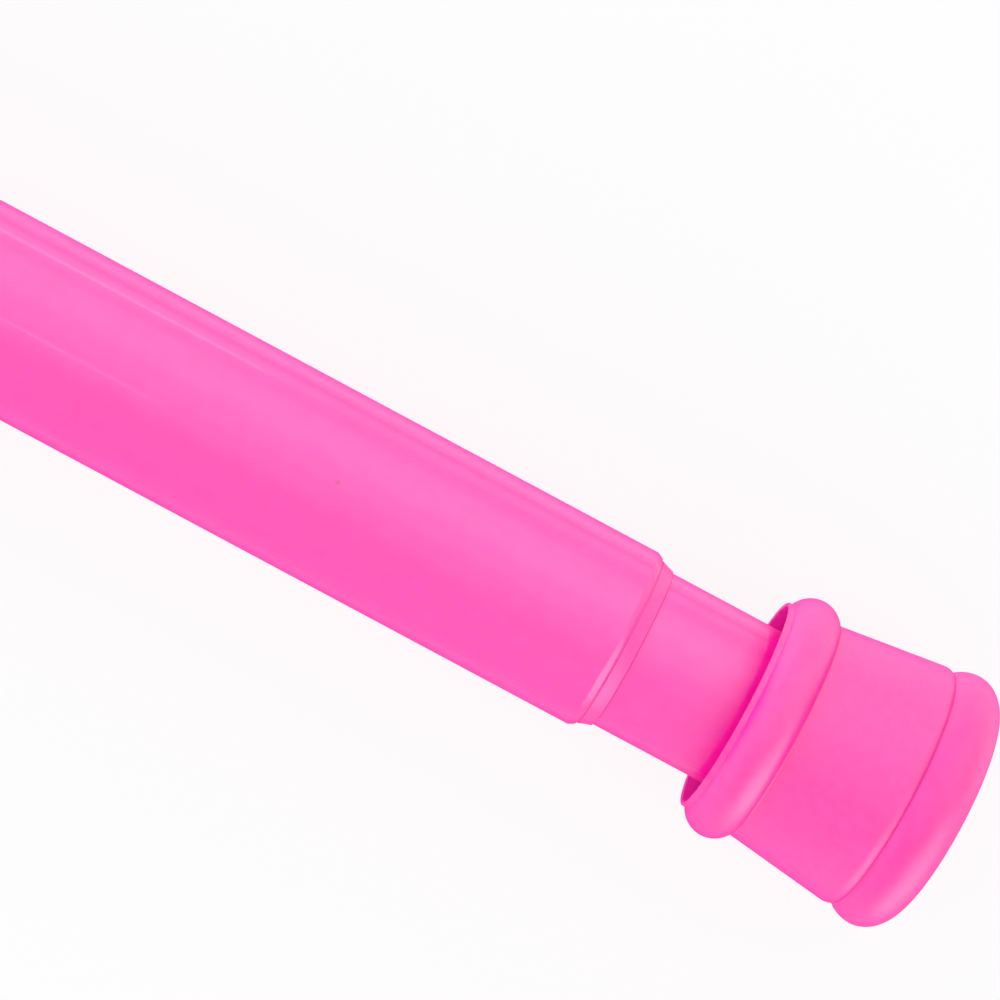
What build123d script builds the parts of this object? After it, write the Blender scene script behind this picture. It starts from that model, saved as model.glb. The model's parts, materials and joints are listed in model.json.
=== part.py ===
from build123d import *

import os

# Extendable shower curtain rod, in millimetres. X runs along the rod from the left wall face, Z is up.
# Both ends carry the same cup and foot. Depths at an end count inwards from its wall face.

# Tubes
outer_tube_dia = 25.0
inner_tube_dia = 22.0
tube_wall = 0.5
outer_tube_length = 982.4
cut_edge_length = 0.85
cut_edge_thickness = 0.05
bare_tube_length = 17.0

# Clearances
slide_clearance = 0.08
pin_clearance = 0.05
seat_gap = 0.1
run_gap = 0.15

# Throat collar in the mouth of the outer tube
collar_sleeve_length = 24.0
collar_groove_width = 0.25
collar_groove_dia = 23.1
collar_lip_length = 1.75
collar_shoulder_dia = 23.64
collar_lip_wall = 0.14
collar_lip_hollow = 0.04
collar_lead_in = 0.4

# Rubber foot
foot_dia = 36.0
foot_depth = 7.8
foot_widest_depth = 4.6
foot_face_dia = 24.6
foot_face_thickness = 3.7

# End cup, outside
groove_dia = 33.4
cone_wide_dia = 34.1
cone_narrow_dia = 30.4
shoulder_round = 1.5
cone_length = 14.4
bead_dia = 34.1
bead_length = 6.5
lip_dia = 29.6
lip_length = 0.7
lip_round = 0.25

# End cup, inside
mouth_dia = 28.4
cavity_floor_dia = 26.8
web_thickness = 3.4
hub_dia = 18.0
hub_height = 2.0
spigot_dia = 11.8
spigot_length = 2.9
snap_neck_dia = 26.0
snap_flange_dia = 28.8
snap_flange_thickness = 1.9
screw_well_dia = 9.6
screw_seat_thickness = 2.6

# End plug in each tube
plug_flange_thickness = 1.5
plug_length = 18.0
plug_floor = 5.0
plug_shell = 1.6
plug_boss_dia = 8.4

# Cup screw and its washer
screw_dia = 3.5
screw_length = 18.0
screw_head_dia = 7.2
screw_head_height = 2.6
screw_head_round = 0.8
cross_slot_width = 1.0
cross_slot_length = 4.0
cross_slot_depth = 1.4
screw_washer_dia = 9.0
screw_washer_thickness = 0.8
screw_hole_clearance = 0.35

# Steel stem and the bush that it slides in
stem_dia = 8.0
stem_across_flats = 7.0
stem_socket_depth = 14.0
bush_length = 16.0
bush_flange_thickness = 2.0
stop_washer_dia = 16.0
stop_washer_thickness = 1.6
stop_nut_across_flats = 13.0
stop_nut_height = 6.5
stem_tail = 2.5

# Tension spring
wire_dia = 1.8
spring_mean_dia = 15.0
spring_length = 56.0
spring_turns = 8.5

# Lock head
lock_flange_dia = 20.4
front_flange_thickness = 2.0
back_flange_thickness = 3.0
guide_seat_dia = 16.0
spring_spigot_height = 3.0
spring_spigot_clearance = 0.4

# Guide ring
guide_ring_width = 8.0
guide_ring_split = 2.0
guide_ring_chamfer = 0.5

# Cam ring on its eccentric pin
cam_offset = 1.0
cam_throw_clearance = 0.9
cam_ring_width = 9.0
cam_pin_dia = 13.0
cam_groove_dia = 1.2
cam_grooves = 16
cam_washer_dia = 17.0
cam_washer_thickness = 1.0
cam_pin_core = 1.6

# Free run between the left plug and the lock, for closing the rod
closing_room = 9.0

# Radii that several pieces share
outer_r = outer_tube_dia / 2
outer_bore_r = outer_r - tube_wall
inner_r = inner_tube_dia / 2
inner_bore_r = inner_r - tube_wall
screw_r = screw_dia / 2
screw_hole_r = screw_r + screw_hole_clearance

# Depths at an end, inwards from the wall face
snap_back = foot_face_thickness + snap_flange_thickness
cone_wide_end = foot_depth + shoulder_round
cone_narrow_end = cone_wide_end + cone_length
bead_end = cone_narrow_end + bead_length
rim = bead_end + lip_length
cavity_floor = foot_depth + web_thickness
hub_face = cavity_floor + hub_height
spigot_face = hub_face + spigot_length
tube_seat = hub_face + plug_flange_thickness
plug_recess = spigot_face + seat_gap
plug_floor_back = hub_face + plug_floor
plug_end = tube_seat + plug_length
screw_seat = cavity_floor - screw_seat_thickness
screw_under_head = screw_seat - screw_washer_thickness
screw_head_top = screw_under_head - screw_head_height
screw_tip = screw_under_head + screw_length

# Places along the rod
outer_tube_start = tube_seat
outer_tube_end = outer_tube_start + outer_tube_length
right_wall_face = outer_tube_end + bare_tube_length + rim
inner_tube_end = right_wall_face - tube_seat
cam_screw_top = plug_end + closing_room
cam_washer_start = cam_screw_top + screw_head_height
cam_pin_start = cam_washer_start + cam_washer_thickness
cam_pin_length = cam_ring_width + 2 * run_gap
front_flange_start = cam_pin_start + cam_pin_length
guide_seat_start = front_flange_start + front_flange_thickness
guide_ring_start = guide_seat_start + run_gap
back_flange_start = guide_ring_start + guide_ring_width + run_gap
spring_start = back_flange_start + back_flange_thickness
spring_end = spring_start + spring_length
bush_start = spring_end + seat_gap
inner_tube_start = bush_start + bush_flange_thickness
bush_end = inner_tube_start + bush_length
stop_washer_start = bush_end + seat_gap
stop_nut_start = stop_washer_start + stop_washer_thickness
stem_start = spring_start - stem_socket_depth + spring_spigot_height
stem_end = stop_nut_start + stop_nut_height + stem_tail
cam_screw_tip = stem_start - cam_pin_core

# An end's own plane: local x runs inwards from the wall face, local y is the radius
left_end_plane = Plane.XY
right_end_plane = Plane(origin=(right_wall_face, 0, 0), x_dir=(-1, 0, 0), z_dir=(0, 0, -1))


def section_across(position):
    """The plane across the rod at a place along it."""
    return Plane.YZ.offset(position)


os.makedirs("parts", exist_ok=True)

# Outer tube: thin painted steel, with its cut edge drawn in to a long round where it shows
cut_edge_r = outer_bore_r + cut_edge_thickness
with BuildPart() as outer_tube:
    with BuildSketch():
        with BuildLine():
            Polyline(
                (outer_tube_end, cut_edge_r),
                (outer_tube_end, outer_bore_r),
                (outer_tube_start, outer_bore_r),
                (outer_tube_start, outer_r),
                (outer_tube_end - cut_edge_length, outer_r),
            )
            EllipticalCenterArc(
                (outer_tube_end - cut_edge_length, cut_edge_r),
                cut_edge_length,
                outer_r - cut_edge_r,
                start_angle=0,
                arc_size=90,
            )
        make_face()
    revolve(axis=Axis.X)
outer_tube.part.label = "outer_tube"
export_step(outer_tube.part, "parts/outer_tube.step")

# Throat collar: a sleeve pressed into the outer tube, with a groove and a tapered lip outside it
collar_bore_r = inner_r + slide_clearance
collar_groove_r = collar_groove_dia / 2
collar_shoulder_r = collar_shoulder_dia / 2
collar_lip_r = collar_bore_r + collar_lip_wall
collar_start = outer_tube_end - collar_sleeve_length
collar_lip_start = outer_tube_end + collar_groove_width
collar_end = collar_lip_start + collar_lip_length
collar_lip_middle = (collar_lip_start + collar_end) / 2
with BuildPart() as throat_collar:
    with BuildSketch():
        with BuildLine():
            Polyline(
                (collar_end, collar_lip_r),
                (collar_end, collar_bore_r),
                (collar_start + collar_lead_in, collar_bore_r),
                (collar_start, collar_bore_r + collar_lead_in),
                (collar_start, outer_bore_r),
                (outer_tube_end, outer_bore_r),
                (outer_tube_end, collar_groove_r),
                (collar_lip_start, collar_groove_r),
                (collar_lip_start, collar_shoulder_r),
            )
            ThreePointArc(
                (collar_lip_start, collar_shoulder_r),
                (collar_lip_middle, (collar_shoulder_r + collar_lip_r) / 2 - collar_lip_hollow),
                (collar_end, collar_lip_r),
            )
        make_face()
    revolve(axis=Axis.X)
throat_collar.part.label = "throat_collar"
export_step(throat_collar.part, "parts/throat_collar.step")

# Inner tube
with BuildPart() as inner_tube:
    with BuildSketch(section_across(inner_tube_start)):
        Circle(inner_r)
        Circle(inner_bore_r, mode=Mode.SUBTRACT)
    extrude(amount=inner_tube_end - inner_tube_start)
inner_tube.part.label = "inner_tube"
export_step(inner_tube.part, "parts/inner_tube.step")

# The same end on each tube: plug, cup, washer, screw and rubber foot
for side, end_plane, tube_r in (("left", left_end_plane, outer_r), ("right", right_end_plane, inner_r)):

    # Plug: a cap pressed into the tube, cored from inside around a boss for the screw
    plug_r = tube_r - tube_wall
    with BuildPart() as end_plug:
        with BuildSketch(end_plane):
            with BuildLine():
                Polyline(
                    (plug_recess, screw_r),
                    (plug_recess, spigot_dia / 2 + seat_gap),
                    (hub_face, spigot_dia / 2 + seat_gap),
                    (hub_face, tube_r),
                    (tube_seat, tube_r),
                    (tube_seat, plug_r),
                    (plug_end, plug_r),
                    (plug_end, plug_r - plug_shell),
                    (plug_floor_back, plug_r - plug_shell),
                    (plug_floor_back, plug_boss_dia / 2),
                    (plug_end, plug_boss_dia / 2),
                    (plug_end, screw_r),
                    close=True,
                )
            make_face()
        revolve(axis=Axis.X)
    end_plug.part.label = f"{side}_end_plug"
    export_step(end_plug.part, f"parts/{side}_end_plug.step")

    # Cup: a moulding with a snap flange for the foot, a cone, a bead at the mouth and a hub inside
    with BuildPart() as end_cup:
        with BuildSketch(end_plane):
            with BuildLine():
                Polyline(
                    (foot_face_thickness, screw_well_dia / 2),
                    (foot_face_thickness, snap_flange_dia / 2),
                    (snap_back, snap_flange_dia / 2),
                    (snap_back, snap_neck_dia / 2),
                    (foot_depth, snap_neck_dia / 2),
                    (foot_depth, groove_dia / 2),
                )
                TangentArc(
                    (cone_wide_end, cone_wide_dia / 2),
                    (foot_depth, groove_dia / 2),
                    tangent=(-cone_length, (cone_wide_dia - cone_narrow_dia) / 2),
                )
                Line((cone_wide_end, cone_wide_dia / 2), (cone_narrow_end, cone_narrow_dia / 2))
                ThreePointArc(
                    (cone_narrow_end, cone_narrow_dia / 2),
                    ((cone_narrow_end + bead_end) / 2, bead_dia / 2),
                    (bead_end, lip_dia / 2),
                )
                Polyline(
                    (bead_end, lip_dia / 2),
                    (rim, lip_dia / 2),
                    (rim, mouth_dia / 2),
                    (cavity_floor, cavity_floor_dia / 2),
                    (cavity_floor, hub_dia / 2),
                    (hub_face, hub_dia / 2),
                    (hub_face, spigot_dia / 2),
                    (spigot_face, spigot_dia / 2),
                    (spigot_face, screw_hole_r),
                    (screw_seat, screw_hole_r),
                    (screw_seat, screw_well_dia / 2),
                    (foot_face_thickness, screw_well_dia / 2),
                )
            make_face()
        revolve(axis=Axis.X)
        inwards = Axis(end_plane.origin, end_plane.x_dir)
        fillet(end_cup.edges().group_by(inwards)[-1], lip_round)
    end_cup.part.label = f"{side}_end_cup"
    export_step(end_cup.part, f"parts/{side}_end_cup.step")

    # Washer under the screw's head
    with BuildPart() as screw_washer:
        with BuildSketch(end_plane):
            with BuildLine():
                Polyline(
                    (screw_under_head, screw_r),
                    (screw_under_head, screw_washer_dia / 2),
                    (screw_seat, screw_washer_dia / 2),
                    (screw_seat, screw_r),
                    close=True,
                )
            make_face()
        revolve(axis=Axis.X)
    screw_washer.part.label = f"{side}_screw_washer"
    export_step(screw_washer.part, f"parts/{side}_screw_washer.step")

    # Pan-head screw with a cross slot
    with BuildPart() as cup_screw:
        with BuildSketch(end_plane):
            with BuildLine():
                head_r = screw_head_dia / 2
                Polyline(
                    (screw_head_top, head_r - screw_head_round),
                    (screw_head_top, 0),
                    (screw_tip, 0),
                    (screw_tip - screw_r, screw_r),
                    (screw_under_head, screw_r),
                    (screw_under_head, head_r),
                    (screw_head_top + screw_head_round, head_r),
                )
                EllipticalCenterArc(
                    (screw_head_top + screw_head_round, head_r - screw_head_round),
                    screw_head_round,
                    screw_head_round,
                    start_angle=90,
                    arc_size=90,
                )
            make_face()
        revolve(axis=Axis.X)
        head_plane = Plane(
            end_plane.from_local_coords((screw_head_top, 0, 0)), x_dir=(0, 1, 0), z_dir=end_plane.x_dir
        )
        with BuildSketch(head_plane):
            Rectangle(cross_slot_length, cross_slot_width)
            Rectangle(cross_slot_width, cross_slot_length)
        extrude(amount=cross_slot_depth, mode=Mode.SUBTRACT)
    cup_screw.part.label = f"{side}_cup_screw"
    export_step(cup_screw.part, f"parts/{side}_cup_screw.step")

    # Rubber foot: a flat wall face, a fat rounded edge and a pocket that snaps over the cup's flange
    with BuildPart() as rubber_foot:
        with BuildSketch(end_plane):
            with BuildLine():
                Polyline((0, foot_face_dia / 2), (0, 0), (foot_face_thickness, 0))
                Polyline(
                    (foot_face_thickness, 0),
                    (foot_face_thickness, snap_flange_dia / 2),
                    (snap_back, snap_flange_dia / 2),
                    (snap_back, snap_neck_dia / 2),
                    (foot_depth, snap_neck_dia / 2),
                    (foot_depth, groove_dia / 2),
                )
                TangentArc(
                    (foot_widest_depth, foot_dia / 2),
                    (foot_depth, groove_dia / 2),
                    tangent=(1, 0),
                )
                EllipticalCenterArc(
                    (foot_widest_depth, foot_face_dia / 2),
                    foot_widest_depth,
                    (foot_dia - foot_face_dia) / 2,
                    start_angle=90,
                    arc_size=90,
                )
            make_face()
        revolve(axis=Axis.X)
    rubber_foot.part.label = f"{side}_rubber_foot"
    export_step(rubber_foot.part, f"parts/{side}_rubber_foot.step")

# Stem bush: pressed into the inner tube's hidden end, with a bore that follows the stem's flats
with BuildPart() as stem_bush:
    with BuildSketch(section_across(bush_start)):
        Circle(inner_r)
    extrude(amount=bush_flange_thickness)
    with BuildSketch(section_across(inner_tube_start)):
        Circle(inner_bore_r)
    extrude(amount=bush_length)
    with BuildSketch(section_across(bush_start)):
        Circle(stem_dia / 2 + slide_clearance)
        Rectangle(
            stem_across_flats + 2 * slide_clearance, 2 * stem_dia, mode=Mode.INTERSECT
        )
    extrude(amount=bush_flange_thickness + bush_length, mode=Mode.SUBTRACT)
stem_bush.part.label = "stem_bush"
export_step(stem_bush.part, "parts/stem_bush.step")

# Stem rod: round steel with two flats
with BuildPart() as stem_rod:
    with BuildSketch(section_across(stem_start)):
        Circle(stem_dia / 2)
        Rectangle(stem_across_flats, 2 * stem_dia, mode=Mode.INTERSECT)
    extrude(amount=stem_end - stem_start)
stem_rod.part.label = "stem_rod"
export_step(stem_rod.part, "parts/stem_rod.step")

# Stop washer and nut on the stem, inside the inner tube
with BuildPart() as stop_washer:
    with BuildSketch(section_across(stop_washer_start)):
        Circle(stop_washer_dia / 2)
        Circle(stem_dia / 2, mode=Mode.SUBTRACT)
    extrude(amount=stop_washer_thickness)
stop_washer.part.label = "stop_washer"
export_step(stop_washer.part, "parts/stop_washer.step")

with BuildPart() as stop_nut:
    with BuildSketch(section_across(stop_nut_start)):
        RegularPolygon(stop_nut_across_flats / 2, 6, major_radius=False)
        Circle(stem_dia / 2, mode=Mode.SUBTRACT)
    extrude(amount=stop_nut_height)
stop_nut.part.label = "stop_nut"
export_step(stop_nut.part, "parts/stop_nut.step")

# Tension spring: round wire, its end turns ground flat against their seats
with BuildPart() as tension_spring:
    with BuildLine() as wire_path:
        Helix(
            pitch=spring_length / spring_turns,
            height=spring_length,
            radius=spring_mean_dia / 2,
            center=(spring_start, 0, 0),
            direction=(1, 0, 0),
        )
    with BuildSketch(Plane(origin=wire_path.line @ 0, z_dir=wire_path.line % 0)):
        Circle(wire_dia / 2)
    sweep(path=wire_path.line, is_frenet=True)
    split(bisect_by=section_across(spring_start), keep=Keep.TOP)
    split(bisect_by=section_across(spring_end), keep=Keep.BOTTOM)
tension_spring.part.label = "tension_spring"
export_step(tension_spring.part, "parts/tension_spring.step")

# Lock head: two flanges beside the guide ring's seat, a spigot for the spring and the eccentric pin
spring_bore_r = (spring_mean_dia - wire_dia) / 2
spring_spigot_r = spring_bore_r - spring_spigot_clearance
with BuildPart() as lock_head:
    with BuildSketch():
        with BuildLine():
            Polyline(
                (front_flange_start, 0),
                (front_flange_start, lock_flange_dia / 2),
                (guide_seat_start, lock_flange_dia / 2),
                (guide_seat_start, guide_seat_dia / 2),
                (back_flange_start, guide_seat_dia / 2),
                (back_flange_start, lock_flange_dia / 2),
                (spring_start, lock_flange_dia / 2),
                (spring_start, spring_spigot_r),
                (spring_start + spring_spigot_height, spring_spigot_r),
                (spring_start + spring_spigot_height, 0),
                close=True,
            )
        make_face()
    revolve(axis=Axis.X)
    with BuildSketch(section_across(cam_pin_start)):
        with Locations((cam_offset, 0)):
            Circle(cam_pin_dia / 2)
    extrude(amount=cam_pin_length)
    with BuildSketch(section_across(cam_pin_start)):
        with Locations((cam_offset, 0)):
            Circle(screw_r)
    extrude(amount=cam_screw_tip - cam_pin_start, mode=Mode.SUBTRACT)
    with BuildSketch(section_across(stem_start)):
        Circle(stem_dia / 2)
        Rectangle(stem_across_flats, 2 * stem_dia, mode=Mode.INTERSECT)
    extrude(amount=stem_socket_depth, mode=Mode.SUBTRACT)
lock_head.part.label = "lock_head"
export_step(lock_head.part, "parts/lock_head.step")

# Guide ring: runs in the outer tube, split so that it can be sprung onto its seat
with BuildPart() as guide_ring:
    with BuildSketch(section_across(guide_ring_start)):
        Circle(outer_bore_r - slide_clearance)
        Circle(guide_seat_dia / 2 + slide_clearance, mode=Mode.SUBTRACT)
    extrude(amount=guide_ring_width)
    outer_edges = guide_ring.edges().filter_by(GeomType.CIRCLE).sort_by(SortBy.RADIUS)[-2:]
    chamfer(outer_edges, guide_ring_chamfer)
    with BuildSketch(section_across(guide_ring_start)):
        with Locations((-outer_bore_r / 2, 0)):
            Rectangle(outer_bore_r, guide_ring_split)
    extrude(amount=guide_ring_width, mode=Mode.SUBTRACT)
guide_ring.part.label = "guide_ring"
export_step(guide_ring.part, "parts/guide_ring.step")

# Cam ring: round outside on the rod's axis, bored off centre, with grip grooves along it
cam_ring_r = outer_bore_r - cam_throw_clearance
with BuildPart() as cam_ring:
    with BuildSketch(section_across(cam_pin_start + run_gap)):
        Circle(cam_ring_r)
        with PolarLocations(cam_ring_r, cam_grooves):
            Circle(cam_groove_dia / 2, mode=Mode.SUBTRACT)
        with Locations((cam_offset, 0)):
            Circle(cam_pin_dia / 2 + pin_clearance, mode=Mode.SUBTRACT)
    extrude(amount=cam_ring_width)
cam_ring.part.label = "cam_ring"
export_step(cam_ring.part, "parts/cam_ring.step")

# Cam washer and screw on the pin's own axis
with BuildPart() as cam_washer:
    with BuildSketch(section_across(cam_washer_start)):
        with Locations((cam_offset, 0)):
            Circle(cam_washer_dia / 2)
            Circle(screw_r, mode=Mode.SUBTRACT)
    extrude(amount=cam_washer_thickness)
cam_washer.part.label = "cam_washer"
export_step(cam_washer.part, "parts/cam_washer.step")

with BuildPart() as cam_screw:
    with BuildSketch(section_across(cam_screw_top)):
        with Locations((cam_offset, 0)):
            Circle(screw_head_dia / 2)
    extrude(amount=screw_head_height)
    fillet(cam_screw.edges().group_by(Axis.X)[0], screw_head_round)
    with BuildSketch(section_across(cam_washer_start)):
        with Locations((cam_offset, 0)):
            Circle(screw_r)
    extrude(amount=cam_screw_tip - cam_washer_start)
    with BuildSketch(section_across(cam_screw_top)):
        with Locations((cam_offset, 0)):
            Rectangle(cross_slot_length, cross_slot_width)
            Rectangle(cross_slot_width, cross_slot_length)
    extrude(amount=cross_slot_depth, mode=Mode.SUBTRACT)
cam_screw.part.label = "cam_screw"
export_step(cam_screw.part, "parts/cam_screw.step")
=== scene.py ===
# %% [markdown]
# # An extendable shower curtain rod
# The rod is two thin painted tubes that slide in one another, with the same flared plastic cup and
# rubber foot at each end. A spring and a twist lock hide inside. The engineering model is loaded first
# and stays where it is. This lesson models fine skins over the pieces that show and over the spring, which
# changes its length, and it finishes every piece.

# %% Load the engineering model and keep its box
import json
from math import atan2, cos, hypot, pi, radians, sin, tan

import bmesh
import bpy
from mathutils import Matrix, Vector


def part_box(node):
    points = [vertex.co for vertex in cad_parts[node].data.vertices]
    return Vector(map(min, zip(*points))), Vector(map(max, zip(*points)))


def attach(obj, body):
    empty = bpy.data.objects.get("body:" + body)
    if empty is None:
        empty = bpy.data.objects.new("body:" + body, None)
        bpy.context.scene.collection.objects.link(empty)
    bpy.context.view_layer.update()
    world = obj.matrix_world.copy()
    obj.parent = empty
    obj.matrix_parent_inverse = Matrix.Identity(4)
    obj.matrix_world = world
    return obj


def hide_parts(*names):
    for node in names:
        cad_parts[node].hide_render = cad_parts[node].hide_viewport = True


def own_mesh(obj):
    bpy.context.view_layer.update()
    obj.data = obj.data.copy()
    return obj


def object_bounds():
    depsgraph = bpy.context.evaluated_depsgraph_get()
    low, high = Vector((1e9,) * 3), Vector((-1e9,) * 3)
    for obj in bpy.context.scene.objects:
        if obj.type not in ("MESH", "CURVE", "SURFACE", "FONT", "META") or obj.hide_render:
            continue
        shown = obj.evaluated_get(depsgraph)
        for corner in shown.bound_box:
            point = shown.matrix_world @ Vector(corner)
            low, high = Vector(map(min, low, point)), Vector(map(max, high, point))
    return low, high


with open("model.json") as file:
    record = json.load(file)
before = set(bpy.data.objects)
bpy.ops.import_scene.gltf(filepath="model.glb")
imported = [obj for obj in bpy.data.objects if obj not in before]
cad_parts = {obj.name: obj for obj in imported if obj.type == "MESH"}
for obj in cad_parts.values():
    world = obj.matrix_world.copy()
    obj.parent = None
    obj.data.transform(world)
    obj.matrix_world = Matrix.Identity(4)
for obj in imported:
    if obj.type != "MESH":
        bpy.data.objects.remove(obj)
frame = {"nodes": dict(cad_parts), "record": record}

cad_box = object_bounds()
MM = 0.001
print("loaded", len(frame["nodes"]), "nodes")
print("box", [tuple(round(c, 4) for c in corner) for corner in cad_box])

# %% [markdown]
# ## The outer tube
# Each tube is thin steel strip, rolled, welded and enamelled. A cylinder with open ends gives the skin, and
# Solidify gives it the strip's thickness inwards, so that the outside keeps its size. It could be turned
# from an outline like the mouldings further down, but a primitive and one modifier need fewer steps.

# %% Outer tube
outer_r = 12.5 * MM
tube_wall = 0.5 * MM
tube_sides = 192


def clear_selection():
    """Nothing stays selected, because an operator acts on all that is."""
    bpy.ops.object.select_all(action="DESELECT")


def drawn_tube(name, node, radius):
    """A tube skin with the length and place of its node, in edit mode."""
    low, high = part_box(node)
    clear_selection()
    bpy.ops.mesh.primitive_cylinder_add(
        vertices=tube_sides,
        radius=radius,
        depth=high.x - low.x,
        end_fill_type="NOTHING",
        location=((low.x + high.x) / 2, 0, 0),
        rotation=(0, pi / 2, 0),
    )
    piece = bpy.context.object
    piece.name = name
    bpy.ops.object.transform_apply(location=True, rotation=True, scale=True)
    wall = piece.modifiers.new("strip_thickness", "SOLIDIFY")
    wall.thickness = tube_wall
    wall.offset = -1
    bpy.ops.object.modifier_apply(modifier=wall.name)
    bpy.ops.object.mode_set(mode="EDIT")
    return piece


outer_tube_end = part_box("outer_tube")[1].x
outer_tube = drawn_tube("painted_outer_tube", "outer_tube", outer_r)
print("the outer tube ends at x", round(outer_tube_end, 4))

# %% [markdown]
# ## The outer tube's cut edge
# The cut edge shows beside the collar, where the cutter drew it in. Its ring is picked by its place and
# rounded with Bevel. It could be drawn as an outline and spun, but then the whole tube would have to be.

# %% Round the cut edge
cut_edge_thickness = 0.05 * MM
cut_edge_depth = tube_wall - cut_edge_thickness
cut_edge_profile = 0.29
ring_tolerance = 0.01 * MM


def round_rings(piece, rings, width, segments=5, profile=0.5):
    """Bevels the rings at the given (along, radius) places. A profile of 0.5 is round, 0.25 is flat."""
    bpy.ops.mesh.select_mode(type="EDGE")
    bpy.ops.mesh.select_all(action="DESELECT")
    mesh = bmesh.from_edit_mesh(piece.data)

    def on_ring(corner, ring):
        off_along = abs(corner.co.x - ring[0])
        off_radius = abs(hypot(corner.co.y, corner.co.z) - ring[1])
        return off_along < ring_tolerance and off_radius < ring_tolerance

    for edge in mesh.edges:
        edge.select_set(any(all(on_ring(corner, ring) for corner in edge.verts) for ring in rings))
    bmesh.update_edit_mesh(piece.data)
    bpy.ops.mesh.bevel(offset=width, segments=segments, profile=profile, affect="EDGES")


round_rings(outer_tube, [(outer_tube_end, outer_r)], cut_edge_depth, 8, cut_edge_profile)
print("the cut edge is rounded over", round(cut_edge_depth / MM, 2), "mm")

# %% [markdown]
# ## A longer round
# The real edge was drawn in over a longer way than Bevel gives, so its corners are picked and stretched
# along the tube, which turns the even round into a long one. Bisect adds a ring beside it, because smooth
# shading would otherwise tilt the light over the whole long face.

# %% Stretch the round and finish the tube
cut_edge_length = 0.85 * MM
cut_edge_reach = 1.1 * cut_edge_depth
shading_ring_gap = 0.2 * MM


def finish_piece(piece, smooth_angle=32):
    """Leaves edit mode, shades round faces smooth and keeps true corners sharp."""
    bpy.ops.object.mode_set(mode="OBJECT")
    bpy.ops.object.shade_smooth_by_angle(angle=radians(smooth_angle))
    print(piece.name, len(piece.data.vertices), "corners,", len(piece.data.polygons), "faces")
    return piece


bpy.ops.mesh.select_mode(type="VERT")
bpy.ops.mesh.select_all(action="DESELECT")
mesh = bmesh.from_edit_mesh(outer_tube.data)
for corner in mesh.verts:
    corner.select_set(corner.co.x > outer_tube_end - cut_edge_reach)
bmesh.update_edit_mesh(outer_tube.data)
stretch = (cut_edge_length / cut_edge_depth, 1, 1)
bpy.ops.transform.resize(value=stretch, center_override=(outer_tube_end, 0, 0))
bpy.ops.mesh.select_all(action="SELECT")
shading_ring = (outer_tube_end - cut_edge_length - shading_ring_gap, 0, 0)
bpy.ops.mesh.bisect(plane_co=shading_ring, plane_no=(1, 0, 0))
finish_piece(outer_tube)

# %% [markdown]
# ## The inner tube
# The narrower tube is made from the same kind of strip. Both of its ends are hidden, one in the outer tube
# and one in the cup, so they stay square as the cylinder leaves them.

# %% Inner tube
inner_r = 11.0 * MM
inner_tube = drawn_tube("painted_inner_tube", "inner_tube", inner_r)
finish_piece(inner_tube)

# %% [markdown]
# ## Drawing an outline and turning it
# The mouldings are round about the rod's axis, as if they came off a lathe. They could be built from a
# cylinder by many insets and extrudes, but a lathe piece is clearest as half of its section: a plane is
# shrunk to one corner, that corner is pulled along the outline, and Spin sweeps the line round the X axis.
# The doubled seam is merged afterwards, and only then are the normals made to point outwards.

# %% Pull a line and spin it
turn_steps = 160
merge_distance = 0.002 * MM


def pull_outline(name, outline):
    """A new object whose mesh is one open line through the (along, radius) points of an outline."""
    clear_selection()
    bpy.ops.mesh.primitive_plane_add(size=MM, location=(0, 0, 0))
    piece = bpy.context.object
    piece.name = name
    bpy.ops.object.mode_set(mode="EDIT")
    bpy.ops.mesh.select_mode(type="VERT")
    bpy.ops.mesh.select_all(action="SELECT")
    bpy.ops.mesh.merge(type="CENTER")
    along, radius = outline[0]
    bpy.ops.transform.translate(value=(along, 0, radius))
    for next_along, next_radius in outline[1:]:
        step = (next_along - along, 0, next_radius - radius)
        bpy.ops.mesh.extrude_vertices_move(TRANSFORM_OT_translate={"value": step})
        along, radius = next_along, next_radius
    return piece


def turn_on_axis(piece):
    """Spins the drawn line a full turn about the X axis and closes the seam."""
    bpy.ops.mesh.select_all(action="SELECT")
    bpy.ops.mesh.spin(steps=turn_steps, angle=2 * pi, center=(0, 0, 0), axis=(1, 0, 0))
    bpy.ops.mesh.select_all(action="SELECT")
    bpy.ops.mesh.remove_doubles(threshold=merge_distance)
    bpy.ops.mesh.normals_make_consistent(inside=False)
    return piece


print("a full turn takes", turn_steps, "steps")

# %% [markdown]
# ## The throat collar
# A plastic sleeve is pressed into the outer tube's mouth so that the inner tube runs without rattling. Only
# its lip shows, a short taper down to the inner tube, with a fine groove between it and the tube's edge. The
# whole sleeve is turned from one outline, because the lip and the hidden sleeve are one moulding.

# %% Throat collar
collar_start, collar_end = (corner.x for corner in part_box("throat_collar"))
collar_clearance = 0.08 * MM
collar_bore_r = inner_r + collar_clearance
collar_groove_r = 11.7 * MM
collar_groove_width = 0.25 * MM
collar_shoulder_r = 11.82 * MM
collar_lip_start = outer_tube_end + collar_groove_width
collar_lip_wall = 0.14 * MM
collar_lip_r = collar_bore_r + collar_lip_wall
collar_lip_hollow = 0.04 * MM
collar_lip_round = 0.06 * MM
collar_lead_in = 0.4 * MM


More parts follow.
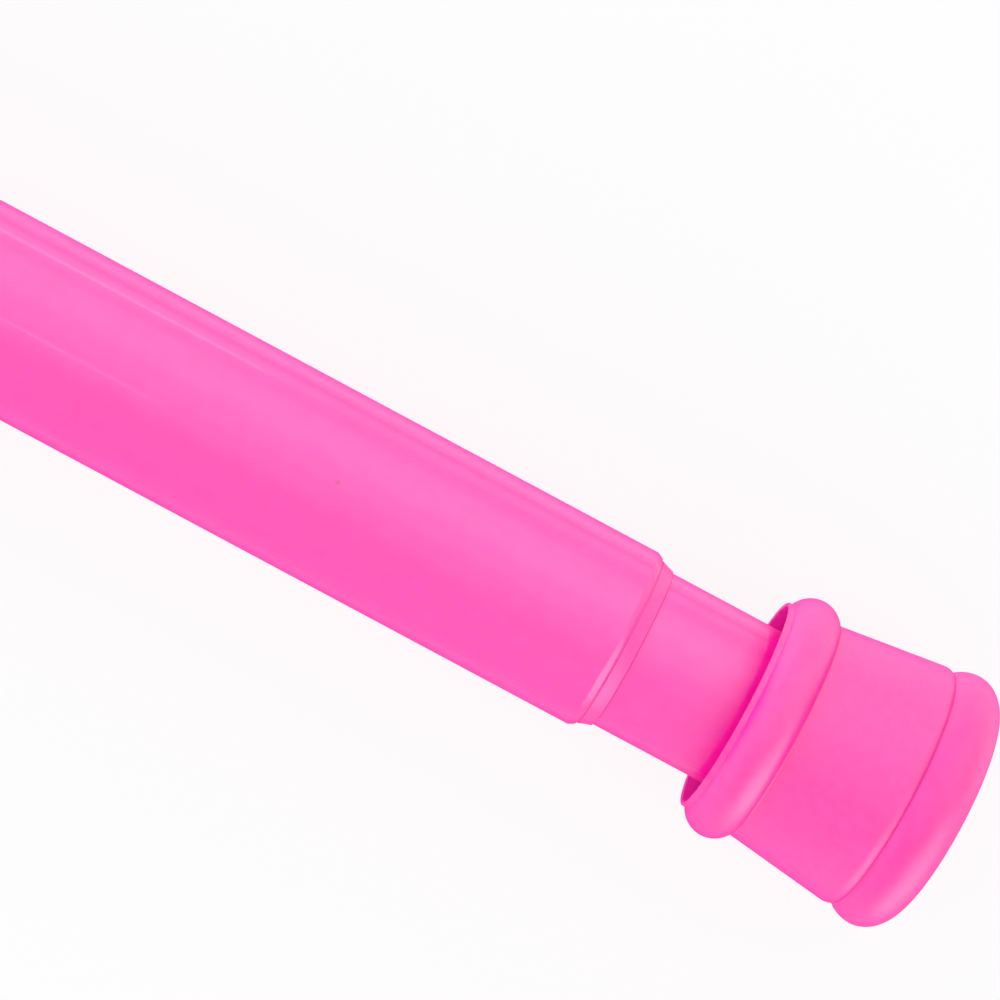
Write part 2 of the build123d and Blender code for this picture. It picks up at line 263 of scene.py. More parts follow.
def arc_through(first, top, last, points=28):
    """Points on the circle through three places."""
    (ax, ay), (bx, by), (cx, cy) = first, top, last
    d = 2 * (ax * (by - cy) + bx * (cy - ay) + cx * (ay - by))
    a2, b2, c2 = ax * ax + ay * ay, bx * bx + by * by, cx * cx + cy * cy
    ux = (a2 * (by - cy) + b2 * (cy - ay) + c2 * (ay - by)) / d
    uy = (a2 * (cx - bx) + b2 * (ax - cx) + c2 * (bx - ax)) / d
    start, end = atan2(ay - uy, ax - ux), atan2(cy - uy, cx - ux)
    size = hypot(ax - ux, ay - uy)
    turns = [start + (end - start) * i / points for i in range(points + 1)]
    return [(ux + size * cos(turn), uy + size * sin(turn)) for turn in turns]


lip_middle_r = (collar_shoulder_r + collar_lip_r) / 2 - collar_lip_hollow
lip_middle = ((collar_lip_start + collar_end) / 2, lip_middle_r)
collar_outline = [
    (collar_end, collar_bore_r),
    (collar_start + collar_lead_in, collar_bore_r),
    (collar_start, collar_bore_r + collar_lead_in),
    (collar_start, outer_r - tube_wall),
    (outer_tube_end, outer_r - tube_wall),
    (outer_tube_end, collar_groove_r),
    (collar_lip_start, collar_groove_r),
    *arc_through((collar_lip_start, collar_shoulder_r), lip_middle, (collar_end, collar_lip_r), 10),
    (collar_end, collar_bore_r),
]
throat_collar = turn_on_axis(pull_outline("moulded_throat_collar", collar_outline))
lip_rings = [(collar_lip_start, collar_shoulder_r), (collar_end, collar_lip_r)]
round_rings(throat_collar, lip_rings, collar_lip_round, 3)
finish_piece(throat_collar)

# %% [markdown]
# ## Sizes of the end cup
# The cup is one moulding: a snap flange for the foot, a cone that narrows from the wall, and a fat bead
# round an open mouth with a thin lip. Depths count inwards from the wall face, so one outline serves both
# ends. Most depths start from another one, so that a longer cone would carry the bead along.

# %% Depths and radii of the cup
foot_face_thickness = 3.7 * MM
foot_depth = 7.8 * MM
snap_flange_thickness = 1.9 * MM
snap_back = foot_face_thickness + snap_flange_thickness
snap_flange_r = 14.4 * MM
snap_neck_r = 13.0 * MM
groove_r = 16.7 * MM
shoulder_round = 1.5 * MM
cone_wide_end = foot_depth + shoulder_round
cone_wide_r = 17.05 * MM
cone_length = 14.4 * MM
cone_narrow_end = cone_wide_end + cone_length
cone_narrow_r = 15.2 * MM
cone_drop = cone_wide_r - cone_narrow_r
bead_length = 6.5 * MM
bead_end = cone_narrow_end + bead_length
bead_r = 17.05 * MM
lip_length = 0.7 * MM
rim = bead_end + lip_length
lip_r = 14.8 * MM
mouth_r = 14.2 * MM
cavity_floor_thickness = 3.4 * MM
cavity_floor = foot_depth + cavity_floor_thickness
cavity_floor_r = 13.4 * MM
hub_height = 2.0 * MM
hub_face = cavity_floor + hub_height
hub_r = 9.0 * MM
spigot_length = 2.9 * MM
spigot_face = hub_face + spigot_length
spigot_r = 5.9 * MM
screw_hole_r = 2.1 * MM
screw_well_r = 4.8 * MM
screw_seat_thickness = 2.6 * MM
screw_seat = cavity_floor - screw_seat_thickness
print("the cup's rim lies", round(rim / MM, 2), "mm from the wall")

# %% [markdown]
# ## The outline of the end cup
# The outline runs round the moulding from the screw well, over the cone and the bead, into the mouth and
# back. Its round stretches could be drawn by eye, but a circle through known places stays true when a size
# changes. A few points on the straight cone keep its shading true where it meets the round forms, as the
# ring on the tube does.

# %% Outline of the cup
cone_shading_shares = (0.03, 0.5, 0.96)


def heading_arc(start, heading, end, points=12):
    """Points on the circle that leaves one place along a heading and comes to another."""
    start, heading, end = Vector(start), Vector(heading).normalized(), Vector(end)
    side = Vector((-heading.y, heading.x))
    chord = end - start
    reach = chord.length_squared / (2 * chord.dot(side))
    centre = start + side * reach
    spoke = start - centre
    sweep = 2 * atan2(chord.dot(side), chord.dot(heading))
    turns = [Matrix.Rotation(sweep * i / points, 2) for i in range(points + 1)]
    return [tuple(centre + turn @ spoke) for turn in turns]


outwards_on_cone = (-cone_length, cone_drop)
bead_top = ((cone_narrow_end + bead_end) / 2, bead_r)
cup_outline = [
    (foot_face_thickness, screw_well_r),
    (foot_face_thickness, snap_flange_r),
    (snap_back, snap_flange_r),
    (snap_back, snap_neck_r),
    (foot_depth, snap_neck_r),
    *reversed(heading_arc((cone_wide_end, cone_wide_r), outwards_on_cone, (foot_depth, groove_r))),
    *[
        (cone_wide_end + share * cone_length, cone_wide_r - share * cone_drop)
        for share in cone_shading_shares
    ],
    *arc_through((cone_narrow_end, cone_narrow_r), bead_top, (bead_end, lip_r)),
    (rim, lip_r),
    (rim, mouth_r),
    (cavity_floor, cavity_floor_r),
    (cavity_floor, hub_r),
    (hub_face, hub_r),
    (hub_face, spigot_r),
    (spigot_face, spigot_r),
    (spigot_face, screw_hole_r),
    (screw_seat, screw_hole_r),
    (screw_seat, screw_well_r),
    (foot_face_thickness, screw_well_r),
]
print("the cup's outline has", len(cup_outline), "points")

# %% [markdown]
# ## The right end cup
# The outline is set off from the right wall and turned. The lip and both creases beside the bead are rounded
# afterwards, as a mould leaves them. They could be arcs in the outline too, but Bevel fits them to both
# sides by itself.

# %% Right end cup
right_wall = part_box("right_rubber_foot")[1].x
lip_round = 0.25 * MM
crease_round = 0.15 * MM


def from_right_wall(outline):
    """Depths from the wall face as places along the rod, at its right end."""
    return [(right_wall - depth, radius) for depth, radius in outline]


right_cup = turn_on_axis(pull_outline("moulded_right_cup", from_right_wall(cup_outline)))
round_rings(right_cup, from_right_wall([(rim, lip_r), (rim, mouth_r)]), lip_round)
creases = from_right_wall([(cone_narrow_end, cone_narrow_r), (bead_end, lip_r)])
round_rings(right_cup, creases, crease_round, 4)
finish_piece(right_cup)

# %% [markdown]
# ## The right rubber foot
# A soft pad snaps over the cup's flange and presses on the wall. Its edge is fat and round, fuller towards
# the wall, so the outline joins a quarter oval and a flatter arc at the widest place. The pocket inside
# repeats the cup's flange, and the flat face closes at the axis.

# %% Right rubber foot
foot_r = 18.0 * MM
foot_widest = 4.6 * MM
foot_face_r = 12.3 * MM


def oval_arc(centre, half_width, half_height, start, end, points):
    """Points on part of an oval, from one angle to another in degrees."""
    turns = [radians(start + (end - start) * i / points) for i in range(points + 1)]
    return [(centre[0] + half_width * cos(turn), centre[1] + half_height * sin(turn)) for turn in turns]


foot_outline = [
    (0, 0),
    *oval_arc((foot_widest, foot_face_r), foot_widest, foot_r - foot_face_r, 180, 90, 24),
    *heading_arc((foot_widest, foot_r), (1, 0), (foot_depth, groove_r), 20)[1:],
    (foot_depth, snap_neck_r),
    (snap_back, snap_neck_r),
    (snap_back, snap_flange_r),
    (foot_face_thickness, snap_flange_r),
    (foot_face_thickness, 0),
]
right_foot = turn_on_axis(pull_outline("soft_right_foot", from_right_wall(foot_outline)))
finish_piece(right_foot)

# %% [markdown]
# ## Copies for the left end
# Both ends carry the same mouldings, so the right pieces are copied with their own meshes. Half a turn about
# an upright line through the rod's middle brings them to the left wall and keeps their faces outwards, which
# a mirror would not.

# %% Left end
left_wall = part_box("left_rubber_foot")[0].x
rod_middle = (left_wall + right_wall) / 2


def copy_to_left(piece, name):
    """A copy with its own mesh, turned half round about the rod's middle."""
    clear_selection()
    piece.select_set(True)
    bpy.context.view_layer.objects.active = piece
    bpy.ops.object.duplicate(linked=False)
    copy = bpy.context.object
    copy.name = name
    bpy.ops.object.mode_set(mode="EDIT")
    bpy.ops.mesh.select_all(action="SELECT")
    bpy.ops.transform.rotate(value=pi, orient_axis="Z", center_override=(rod_middle, 0, 0))
    bpy.ops.object.mode_set(mode="OBJECT")
    places = [corner.co.x for corner in copy.data.vertices]
    print(copy.name, "spans x", round(min(places), 4), "to", round(max(places), 4))
    return copy


left_cup = copy_to_left(right_cup, "moulded_left_cup")
left_foot = copy_to_left(right_foot, "soft_left_foot")

# %% [markdown]
# ## The tension spring
# The spring hides in the outer tube, but it shortens when the rod is pushed in, so a stiff copy would stick
# through the bush. A small circle of wire and the Screw modifier wind it.

# %% Tension spring
spring_start, spring_end = (corner.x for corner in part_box("tension_spring"))
spring_length = spring_end - spring_start
wire_r = 0.9 * MM
wire_sides = 14
coil_r = 7.5 * MM
coil_turns = 8.5
steps_per_turn = 48
wire_smooth_angle = 60

clear_selection()
bpy.ops.mesh.primitive_circle_add(
    vertices=wire_sides,
    radius=wire_r,
    location=(spring_start + wire_r, 0, coil_r),
    rotation=(pi / 2, 0, 0),
    fill_type="NGON",
)
spring = bpy.context.object
spring.name = "wound_tension_spring"
bpy.ops.object.transform_apply(location=True, rotation=True, scale=True)
winding = spring.modifiers.new("winding", "SCREW")
winding.axis = "X"
winding.angle = coil_turns * 2 * pi
winding.screw_offset = spring_length - 2 * wire_r
winding.steps = winding.render_steps = int(coil_turns * steps_per_turn)
winding.use_merge_vertices = False
bpy.ops.object.modifier_apply(modifier=winding.name)
bpy.ops.object.mode_set(mode="EDIT")
bpy.ops.mesh.select_all(action="SELECT")
bpy.ops.mesh.normals_make_consistent(inside=False)
finish_piece(spring, wire_smooth_angle)

# %% [markdown]
# ## Finishes and their grain
# A finish is a Principled shader with its variation from noise on Object coordinates, so that nothing slides
# when a body moves. A painted picture could vary it too, but noise needs no unwrapping and no file. Each
# finish blends two near tones and has a small range of roughness. What is the same all over is set on the
# shader's own sockets.

# %% Noise and tones
tone_range = (0.35, 0.65)


def grain(tree, scale, detail=2.0):
    """Noise on Object coordinates, as a value from 0 to 1."""
    place = tree.nodes.new("ShaderNodeTexCoord")
    noise = tree.nodes.new("ShaderNodeTexNoise")
    noise.inputs["Scale"].default_value = scale
    noise.inputs["Detail"].default_value = detail
    tree.links.new(place.outputs["Object"], noise.inputs["Vector"])
    return noise.outputs["Fac"]


def spread(tree, value, low, high, to_low, to_high):
    """A value moved from one range to another, and kept inside it."""
    mapped = tree.nodes.new("ShaderNodeMapRange")
    mapped.interpolation_type = "SMOOTHSTEP"
    mapped.inputs["From Min"].default_value = low
    mapped.inputs["From Max"].default_value = high
    mapped.inputs["To Min"].default_value = to_low
    mapped.inputs["To Max"].default_value = to_high
    tree.links.new(value, mapped.inputs["Value"])
    return mapped.outputs["Result"]


def two_tones(tree, value, first, second):
    """Two colours blended by a noise value."""
    ramp = tree.nodes.new("ShaderNodeValToRGB")
    for stop, position, colour in zip(ramp.color_ramp.elements, tone_range, (first, second)):
        stop.position = position
        stop.color = (*colour, 1)
    tree.links.new(value, ramp.inputs["Fac"])
    return ramp.outputs["Color"]


print("two tones blend where the noise lies in", tone_range)

# %% [markdown]
# ## Hollows and edges
# The gloss of the pink pieces fades in a hollow and on a face seen edge-on, so a finish has to know where
# these are. Hollows could be painted by hand as vertex colours, but the Ambient Occlusion node feels the
# walls near a place by itself. For gloss, the Layer Weight node tells how squarely a face is seen.

# %% Where hollows and edges are
hollow_reach = 10 * MM
hollow_samples = 8


def combined(tree, operation, first, second):
    """The sum, the product or the larger of two values."""
    math = tree.nodes.new("ShaderNodeMath")
    math.operation = operation
    tree.links.new(first, math.inputs[0])
    tree.links.new(second, math.inputs[1])
    return math.outputs["Value"]


def edge_on(tree):
    """0 on a face that is seen square on, 1 on one that is seen edge-on."""
    return tree.nodes.new("ShaderNodeLayerWeight").outputs["Facing"]


def openness(tree, low, high):
    """0 deep in a hollow, 1 in the open, by how much the walls near a place hide."""
    walls = tree.nodes.get("walls")
    if walls is None:
        walls = tree.nodes.new("ShaderNodeAmbientOcclusion")
        walls.name = "walls"
        walls.samples = hollow_samples
        walls.inputs["Distance"].default_value = hollow_reach
    return spread(tree, walls.outputs["AO"], low, high, 0, 1)


print("walls within", hollow_reach, "m make a hollow")

# %% [markdown]
# ## The hazy coat
# All that shows is one family of pink under a hazy clear coat, which makes the deep colour paler wherever it
# mirrors the pale room. A paler colour alone could do it, but it would be as pale on every side. In a hollow
# the coat mirrors only pink, so there it fades, and it thins on faces seen edge-on, which a dull coat
# doesn't brighten.

# %% Coat helpers
pink_ior = 1.3
edge_dulling_start = 0.3


def hazy_coat(tree, shader, ior, roughness, hollows, edges):
    """A dull clear coat that fades in hollows and on faces seen edge-on, each over its own range."""
    squareness = spread(tree, edge_on(tree), *edges, 1, 0)
    weight = combined(tree, "MULTIPLY", openness(tree, *hollows), squareness)
    tree.links.new(weight, shader.inputs["Coat Weight"])
    shader.inputs["IOR"].default_value = pink_ior
    shader.inputs["Coat IOR"].default_value = ior
    shader.inputs["Coat Roughness"].default_value = roughness


def dull_at_edge(tree, value, low, high, edge):
    """A small range of roughness, with more of it on faces seen edge-on."""
    even = spread(tree, value, 0, 1, low, high)
    return combined(tree, "ADD", even, spread(tree, edge_on(tree), edge_dulling_start, 1, 0, edge))


print("under its coat the pink has an index of refraction of", pink_ior)

# %% [markdown]
# ## A grain of dust
# One grain of dust was caught in the enamel of the outer tube. It is kept, because it is part of how the
# real one looks. It could be a tiny bump, but a darker spot is all that the photograph shows of it.

# %% Grain of dust
pip_from_end = 41.1 * MM
pip_across = 1.2 * MM
pip_height = (outer_r**2 - pip_across**2) ** 0.5
pip_place = (outer_tube_end - pip_from_end, pip_across, pip_height)
pip_size = 0.55 * MM
pip_core_share = 0.3
pip_pink = (0.70, 0.0, 0.24)


def two_colours(tree, factor, first, second):
    """A plain colour that gives way to the colour of another node as a factor goes from 0 to 1."""
    blend = tree.nodes.new("ShaderNodeMix")
    blend.data_type = "RGBA"
    blend.inputs["A"].default_value = (*first, 1)
    tree.links.new(factor, blend.inputs["Factor"])
    tree.links.new(second, blend.inputs["B"])
    return blend.outputs["Result"]


def dust_pip(tree, colour):
    """The one grain of dust under the enamel, as a small darker spot at its place on the outer tube."""
    place = tree.nodes.new("ShaderNodeTexCoord")
    gap = tree.nodes.new("ShaderNodeVectorMath")
    gap.operation = "DISTANCE"
    gap.inputs[1].default_value = pip_place
    tree.links.new(place.outputs["Object"], gap.inputs[0])
    clear_of_it = spread(tree, gap.outputs["Value"], pip_core_share * pip_size, pip_size, 0, 1)
    return two_colours(tree, clear_of_it, pip_pink, colour)


print("the grain of dust lies at", tuple(round(c, 4) for c in pip_place))

# %% [markdown]
# ## Pink enamel
# The tubes are stove-enamelled: under the haze lies a sharp but weak gloss, on a slightly wavy surface. One
# gloss could stand for both, but the haze gives the soft paling and the sharp one the fine lines. Both tubes
# share the finish, and the dust shows only on the outer one, because its place lies on that tube.

# %% Tube enamel
finishes = {}


def new_finish(name):
    """A material with its node tree and Principled shader."""
    finish = bpy.data.materials.new(name)
    finish.use_nodes = True
    return finish, finish.node_tree, finish.node_tree.nodes["Principled BSDF"]


def keep_finishes(*makers):
    """Makes finishes and keeps each under the name of its slot."""
    for maker in makers:
        finishes[maker.__name__] = maker()
    print("finishes so far:", ", ".join(finishes))


def paint(tree, shader, colour, roughness):
    """Puts a colour and a roughness on the shader."""
    tree.links.new(colour, shader.inputs["Base Color"])
    tree.links.new(roughness, shader.inputs["Roughness"])


def surface_waves(tree, shader, value, height, strength):
    """Raises the surface a little by a noise value, in metres."""
    bump = tree.nodes.new("ShaderNodeBump")
    bump.inputs["Distance"].default_value = height
    bump.inputs["Strength"].default_value = strength
    tree.links.new(value, bump.inputs["Height"])
    tree.links.new(bump.outputs["Normal"], shader.inputs["Normal"])


def tube_enamel():
    finish, tree, shader = new_finish("tube_enamel")
    pink = two_tones(tree, grain(tree, 420, 3), (0.96, 0.004, 0.38), (0.98, 0.012, 0.40))
    paint(tree, shader, dust_pip(tree, pink), dull_at_edge(tree, grain(tree, 300), 0.06, 0.1, 0.6))
    surface_waves(tree, shader, grain(tree, 900, 2), 0.02 * MM, 0.1)
    hazy_coat(tree, shader, 1.85, 0.32, hollows=(0.5, 0.95), edges=(0.06, 0.92))
    return finish


keep_finishes(tube_enamel)

# %% [markdown]
# ## Pink mouldings
# The cups and the collar are satin plastic, coloured through, and light wanders a little under the cups'
# surface. In hollows a cooler, bluer pink is painted in as painted light, for the light that bounces there.
# More lamps could brighten a hollow too, but they would bleach the rest, so the Ambient Occlusion node
# picks the hollows out for the painted light.

# %% Cup plastic and collar plastic
# painted light: a bluer pink that stands in for the light bounced into hollows
painted_hollow_light_pink = (0.99, 0.01, 0.75)
painted_hollow_light_range = (0.25, 0.6)


def painted_hollow_light(tree, colour):
    """Painted light: a bluer, paler pink in hollows for light bounced there, and the given colour in the
    open.
    """
    return two_colours(tree, openness(tree, *painted_hollow_light_range), painted_hollow_light_pink, colour)


def soft_inside(shader, weight, depth):
    """Lets light wander under the surface of a moulding."""
    shader.inputs["Subsurface Weight"].default_value = weight
    shader.inputs["Subsurface Radius"].default_value = (1.0, 0.5, 0.8)
    shader.inputs["Subsurface Scale"].default_value = depth


def cup_plastic():
    finish, tree, shader = new_finish("cup_plastic")
    pink = two_tones(tree, grain(tree, 700, 3), (0.97, 0.003, 0.35), (0.99, 0.012, 0.38))
    # the hollows get painted light, a bluer pink
    colour = painted_hollow_light(tree, pink)
    paint(tree, shader, colour, dull_at_edge(tree, grain(tree, 400), 0.42, 0.5, 0.4))
    surface_waves(tree, shader, grain(tree, 2600, 2), 0.02 * MM, 0.35)
    hazy_coat(tree, shader, 1.75, 0.4, hollows=(0.15, 0.5), edges=(0.2, 1.1))
    soft_inside(shader, 0.3, 1.5 * MM)
    return finish


def collar_plastic():
    finish, tree, shader = new_finish("collar_plastic")
    pink = two_tones(tree, grain(tree, 700, 3), (0.97, 0.003, 0.36), (0.99, 0.012, 0.39))
    # the hollows get painted light, a bluer pink
    colour = painted_hollow_light(tree, pink)
    paint(tree, shader, colour, dull_at_edge(tree, grain(tree, 400), 0.4, 0.48, 0.35))
    surface_waves(tree, shader, grain(tree, 2400, 2), 0.015 * MM, 0.25)
    hazy_coat(tree, shader, 1.75, 0.4, hollows=(0.1, 0.5), edges=(0.2, 1.1))
    return finish


keep_finishes(cup_plastic, collar_plastic)

# %% [markdown]
# ## Pink rubber
# The feet are soft rubber with a dull skin. The finish is made like that of the cups, with a coarser
# unevenness and a weaker coat, because rubber mirrors less than plastic.

# %% Foot rubber
def foot_rubber():
    finish, tree, shader = new_finish("foot_rubber")
    pink = two_tones(tree, grain(tree, 600, 4), (0.97, 0.002, 0.34), (0.99, 0.010, 0.37))
    # the hollows get painted light, a bluer pink
    colour = painted_hollow_light(tree, pink)
    paint(tree, shader, colour, dull_at_edge(tree, grain(tree, 350), 0.46, 0.54, 0.35))
    surface_waves(tree, shader, grain(tree, 1900, 3), 0.03 * MM, 0.4)
    hazy_coat(tree, shader, 1.66, 0.4, hollows=(0.15, 0.5), edges=(0.25, 1.15))
    soft_inside(shader, 0.3, 1.5 * MM)
    return finish


keep_finishes(foot_rubber)

# %% [markdown]
# ## Hidden plastics
# The plugs and the bush are natural grey-white mouldings, and the lock's pieces are cream nylon. They are
# out of sight here, but they show when the part is taken apart. They could share one finish, but a second
# one tells the lock from the plugs.

# %% Plug plastic and lock plastic
def plug_plastic():
    finish, tree, shader = new_finish("plug_plastic")
    grey_white = two_tones(tree, grain(tree, 90, 3), (0.70, 0.70, 0.67), (0.78, 0.78, 0.75))
    paint(tree, shader, grey_white, spread(tree, grain(tree, 500), 0, 1, 0.45, 0.58))
    surface_waves(tree, shader, grain(tree, 2000, 2), 0.02 * MM, 0.3)
    return finish


def lock_plastic():
    finish, tree, shader = new_finish("lock_plastic")
    cream = two_tones(tree, grain(tree, 90, 3), (0.80, 0.79, 0.73), (0.88, 0.87, 0.81))
    paint(tree, shader, cream, spread(tree, grain(tree, 500), 0, 1, 0.38, 0.5))
    surface_waves(tree, shader, grain(tree, 2000, 2), 0.02 * MM, 0.3)
    return finish


keep_finishes(plug_plastic, lock_plastic)

# %% [markdown]
# ## Hidden steels
# The stem, the screws, the washers and the nut are zinc-plated, and the spring is darker oiled wire. Metal
# shows no colour of its own under its surface, so Metallic is 1 and the two tones tint what it mirrors.

# %% Zinc steel and spring steel
def zinc_steel():
    finish, tree, shader = new_finish("zinc_steel")
    zinc = two_tones(tree, grain(tree, 250, 4), (0.58, 0.59, 0.62), (0.70, 0.71, 0.73))
    paint(tree, shader, zinc, spread(tree, grain(tree, 900, 3), 0, 1, 0.26, 0.42))
    surface_waves(tree, shader, grain(tree, 1500, 2), 0.01 * MM, 0.3)
    shader.inputs["Metallic"].default_value = 1.0
    return finish


def spring_steel():
    finish, tree, shader = new_finish("spring_steel")
    oiled = two_tones(tree, grain(tree, 300, 4), (0.30, 0.30, 0.33), (0.42, 0.42, 0.44))
    paint(tree, shader, oiled, spread(tree, grain(tree, 900, 3), 0, 1, 0.3, 0.45))
    shader.inputs["Metallic"].default_value = 1.0
    return finish


keep_finishes(zinc_steel, spring_steel)

# %% [markdown]
# ## Dressing the model
# Each new skin stands for its node, rides on the body that carries the real piece, and takes the finish of
# its slot. The spring's skin gets a mesh of its own. The pieces inside keep their engineering meshes and
# only get a finish.

# %% Put skins and finishes on
skins = [
    (outer_tube, "outer_tube", "outer_rod", "tube_enamel"),
    (throat_collar, "throat_collar", "outer_rod", "collar_plastic"),
    (left_cup, "left_end_cup", "outer_rod", "cup_plastic"),
    (left_foot, "left_rubber_foot", "outer_rod", "foot_rubber"),
    (inner_tube, "inner_tube", "inner_rod", "tube_enamel"),
    (right_cup, "right_end_cup", "inner_rod", "cup_plastic"),
    (right_foot, "right_rubber_foot", "inner_rod", "foot_rubber"),
    (spring, "tension_spring", "lock_stem", "spring_steel"),
]
for piece, node, body, slot in skins:
    piece.data.materials.clear()
    piece.data.materials.append(finishes[slot])
    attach(piece, body)
    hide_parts(node)

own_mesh(spring)

skinned = {node for _, node, _, _ in skins}
for entry in frame["record"]["subparts"]:
    if entry["node"] not in skinned:
        node = frame["nodes"][entry["node"]]
        node.data.materials.clear()
        node.data.materials.append(finishes[entry["material_slot"]])
print("skins:", len(skins), "engineering pieces shown as they are:", len(frame["nodes"]) - len(skins))

# %% [markdown]
# ## Floor
# The rod lies on a plain white floor, at the height of its feet. Lit honestly, a white floor looks grey, so
# for the camera and for gloss part of it is replaced by plain white, and part stays lit so that the shadow
# remains. More light would make it white too, but it would bleach the pink.

# %% Studio floor
floor_size = 12.0
floor_white_share = 0.85


def rays_that_see(tree):
    """1 for the rays that look at the background: from the camera, off gloss and through glass."""
    path = tree.nodes.new("ShaderNodeLightPath")
    seen = path.outputs["Is Camera Ray"]
    for kind in ("Is Glossy Ray", "Is Transmission Ray"):
        seen = combined(tree, "MAXIMUM", seen, path.outputs[kind])
    return seen


clear_selection()
bpy.ops.mesh.primitive_plane_add(size=floor_size, location=(rod_middle, 0, cad_box[0].z))
floor = bpy.context.object
floor.name = "studio_floor"
bpy.ops.object.transform_apply(location=True, rotation=True, scale=True)

floor_finish, tree, shader = new_finish("studio_floor")
shader.inputs["Base Color"].default_value = (0.9, 0.9, 0.9, 1)
shader.inputs["Roughness"].default_value = 0.9
shader.inputs["Specular IOR Level"].default_value = 0.1
white = tree.nodes.new("ShaderNodeEmission")
share = tree.nodes.new("ShaderNodeMath")
share.operation = "MULTIPLY"
share.inputs[1].default_value = floor_white_share
blend = tree.nodes.new("ShaderNodeMixShader")
tree.links.new(rays_that_see(tree), share.inputs[0])
tree.links.new(share.outputs["Value"], blend.inputs["Fac"])
tree.links.new(shader.outputs["BSDF"], blend.inputs[1])
tree.links.new(white.outputs["Emission"], blend.inputs[2])
tree.links.new(blend.outputs["Shader"], tree.nodes["Material Output"].inputs["Surface"])
floor.data.materials.append(floor_finish)
print("floor at z", round(cad_box[0].z, 5))

# %% [markdown]
# ## World
# The world is plain white to the camera and to gloss, as the photograph's background is, and a level glow to
# everything else. A sky picture could light the rod too, but it would bring its own colours, and this glow
# leaves no side of the rod in the dark.

# %% Studio world
world_glow = 0.88

world = bpy.data.worlds.new("studio_world")
bpy.context.scene.world = world
world.use_nodes = True
tree = world.node_tree
glow = tree.nodes["Background"]
glow.inputs["Color"].default_value = (1, 1, 1, 1)
glow.inputs["Strength"].default_value = world_glow
backdrop = tree.nodes.new("ShaderNodeBackground")
backdrop.inputs["Color"].default_value = (1, 1, 1, 1)
backdrop.inputs["Strength"].default_value = 1.0
blend = tree.nodes.new("ShaderNodeMixShader")
tree.links.new(rays_that_see(tree), blend.inputs["Fac"])
tree.links.new(glow.outputs["Background"], blend.inputs[1])
tree.links.new(backdrop.outputs["Background"], blend.inputs[2])
tree.links.new(blend.outputs["Shader"], tree.nodes["World Output"].inputs["Surface"])
print("the world glows at", world_glow)

# %% [markdown]
# ## Cards overhead
# What makes the upper half of each round form paler is a mirror image, so wide cards that only gloss sees
# hang on the far side and overhead. Ordinary lamps would be mirrored too, but they would also light the
# colour under the gloss.

# %% Cards overhead
card_length = 10.0
far_reach = 2.0
top_reach = 2.2


def soft_panel(name, place, aim, width, breadth, glow, matte=True, gloss=True):
    """A lit rectangle that stands at a place and faces another, for matte colour, for gloss or both."""
    lamp = bpy.data.lights.new(name, "AREA")
    lamp.shape = "RECTANGLE"
    lamp.size = width
    lamp.size_y = breadth
    lamp.energy = glow * pi * width * breadth
    panel = bpy.data.objects.new(name, lamp)
    bpy.context.scene.collection.objects.link(panel)
    panel.location = place
    panel.rotation_euler = (Vector(aim) - Vector(place)).to_track_quat("-Z", "Y").to_euler()
    panel.visible_camera = False
    panel.visible_diffuse = matte
    panel.visible_glossy = gloss
    return panel


def leaning_card(name, lean, reach, along, width, breadth, glow):
    """A card over the rod that only gloss sees, leaning by degrees from straight above to the far side."""
    place = (along, reach * sin(radians(lean)), reach * cos(radians(lean)))
    return soft_panel(name, place, (along, 0, 0), width, breadth, glow, matte=False)


def breadth_between(low, high, reach):
    """How broad a card at a distance must be to fill an angle at the rod."""
    return 2 * reach * tan(radians(high - low) / 2)


leaning_card("far_card", lean=46.5, reach=far_reach, along=rod_middle, width=card_length,
             breadth=breadth_between(3, 90, far_reach), glow=0.46)
leaning_card("top_card", lean=0, reach=top_reach, along=rod_middle, width=card_length,
             breadth=breadth_between(-25, 25, top_reach), glow=0.25)
print("cards overhead:", ", ".join(lamp.name for lamp in bpy.data.lights))

# %% [markdown]
# ## Cards on the floor
# Near its far edge a round form mirrors the floor beside it. Two cards lie flat there, so that this edge is
# pale as in the photograph. A brighter floor could do it too, but the background would change with it.

# %% Cards on the floor
floor_card_span = (-4, 5)
card_lift = 0.5 * MM


def lying_card(name, x_range, y_range, glow):
    """A card flat on the floor, which only gloss sees."""
    (left, right), (near, far) = x_range, y_range
    place = Vector(((left + right) / 2, (near + far) / 2, cad_box[0].z + card_lift))
    return soft_panel(name, place, place + Vector((0, 0, 1)), right - left, far - near, glow, matte=False)


lying_card("floor_card", x_range=floor_card_span, y_range=(0.08, 0.62), glow=0.85)
lying_card("inner_floor_card", x_range=floor_card_span, y_range=(0.01, 0.055), glow=0.7)
print("cards overhead and on the floor:", len(bpy.data.lights))

# %% [markdown]
# ## Key card and strips
# A smaller card hangs over the right end, and two thin strips draw the fine lines that run along the tube.
# The lines could be painted on, but then they would stay where they are when the rod is seen from elsewhere.

# %% Key card and strips
leaning_card("key_card", lean=50, reach=1.9, along=1.2, width=2.4, breadth=1.6, glow=0.5)
leaning_card("high_strip", lean=-7, reach=2.0, along=-0.49, width=2.4, breadth=0.1, glow=3.0)
leaning_card("low_strip", lean=91.2, reach=0.2, along=0.327, width=1.2, breadth=0.016, glow=2.2)
print("cards along the rod:", len(bpy.data.lights))

# %% [markdown]
# ## Lamps at the right end
# Two panels that gloss doesn't see send light from the left into the cup's mouth, which would be darker
# without them, and a third beyond the right end lights the foot. A card on the left and two beyond the right
# end draw the pale bands on the bead, the collar's lip and the foot. One strong lamp could do it all, but it
# would leave a hard spot.

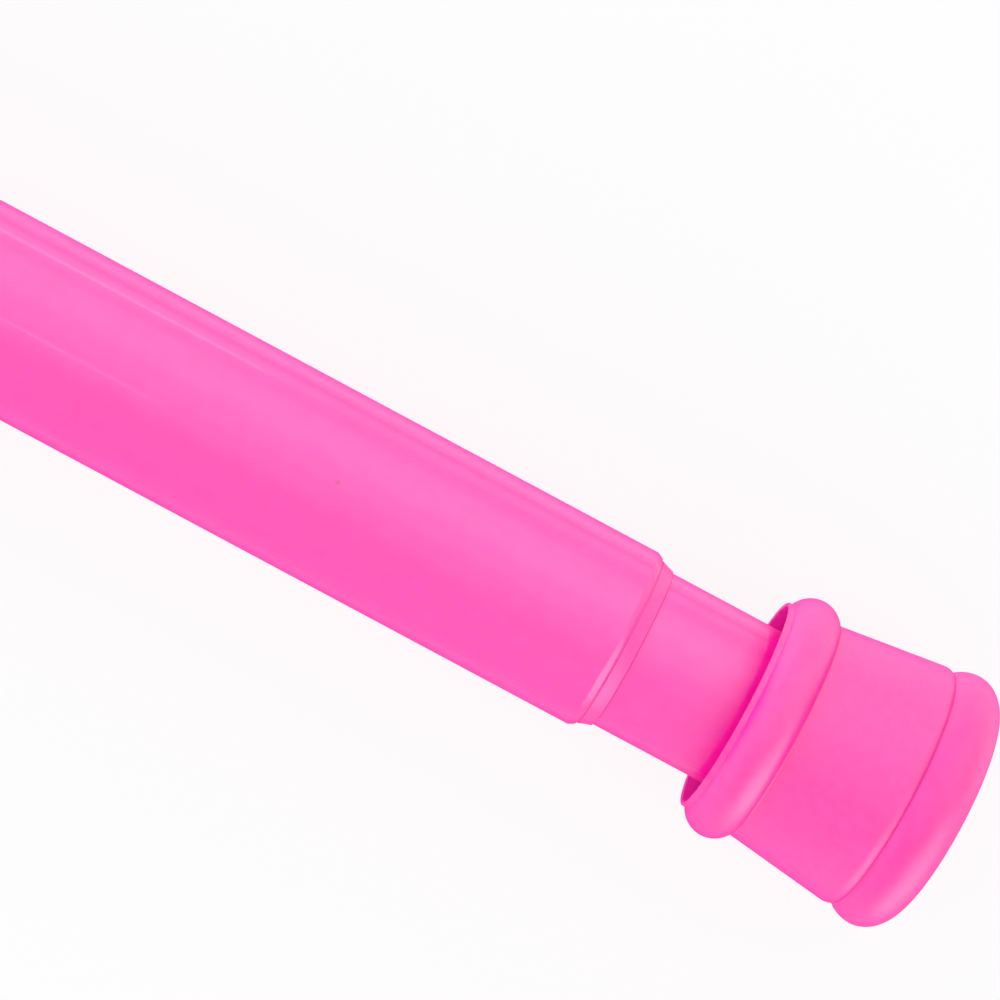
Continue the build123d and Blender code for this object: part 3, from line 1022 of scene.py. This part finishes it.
# %% Lamps for the cup and the foot
mouth_place = (right_wall - rim, 0, 0)
wall_place = (right_wall, 0, 0)
beyond_wall = (right_wall + 0.02, right_wall + 0.62)

for name, side in (("left_far_panel", 1.6), ("left_near_panel", -1.6)):
    soft_panel(name, (-1.0, side, 0.5), mouth_place, width=1.8, breadth=1.8, glow=2.5, gloss=False)
soft_panel("left_card", (-0.5, 0.0, 0.6), mouth_place, width=1.6, breadth=1.0, glow=0.4, matte=False)
soft_panel("right_panel", (2.0, -0.5, 0.4), wall_place, width=1.2, breadth=0.9, glow=0.6, gloss=False)
soft_panel("right_card", (1.9, -0.6, 0.4), wall_place, width=1.4, breadth=0.9, glow=1.7, matte=False)
lying_card("right_floor_card", x_range=beyond_wall, y_range=(-0.55, -0.05), glow=1.5)
print("lamps and cards in all:", len(bpy.data.lights))

# %% [markdown]
# ## Camera
# The photograph looks straight across the rod near its right end, with the rod running down to the right.
# The camera stands above the rod and is rolled by that slope. Its place is given by how far the outer tube's
# end lies from the middle of the picture, measured along and across the rod.

# %% Camera
picture_slope = radians(28.19)
end_leans_away = 0.0119
camera_distance = 387.0 * MM
tube_end_along = 21.2 * MM
tube_end_across = -8.82 * MM
focal_length = 108.0
sensor_width = 36.0

along = Vector((cos(end_leans_away), 0, sin(end_leans_away)))
across = Vector((0, 1, 0))
ahead = Vector((sin(end_leans_away), 0, -cos(end_leans_away)))
right = along * cos(picture_slope) + across * sin(picture_slope)
up = across * cos(picture_slope) - along * sin(picture_slope)
tube_corner = Vector((outer_tube_end - cut_edge_length, 0, 0))
place = tube_corner - along * tube_end_along - across * tube_end_across - ahead * camera_distance

lens = bpy.data.cameras.new("photo_camera")
lens.lens = focal_length
lens.sensor_width = sensor_width
lens.clip_start = 0.01
lens.clip_end = 50
camera = bpy.data.objects.new("photo_camera", lens)
bpy.context.scene.collection.objects.link(camera)
turn = Matrix((right, up, -ahead)).transposed()
camera.matrix_world = Matrix.Translation(place) @ turn.to_4x4()
bpy.context.scene.camera = camera
bpy.context.scene.view_settings.view_transform = "Standard"
print("camera at", tuple(round(c, 4) for c in place))
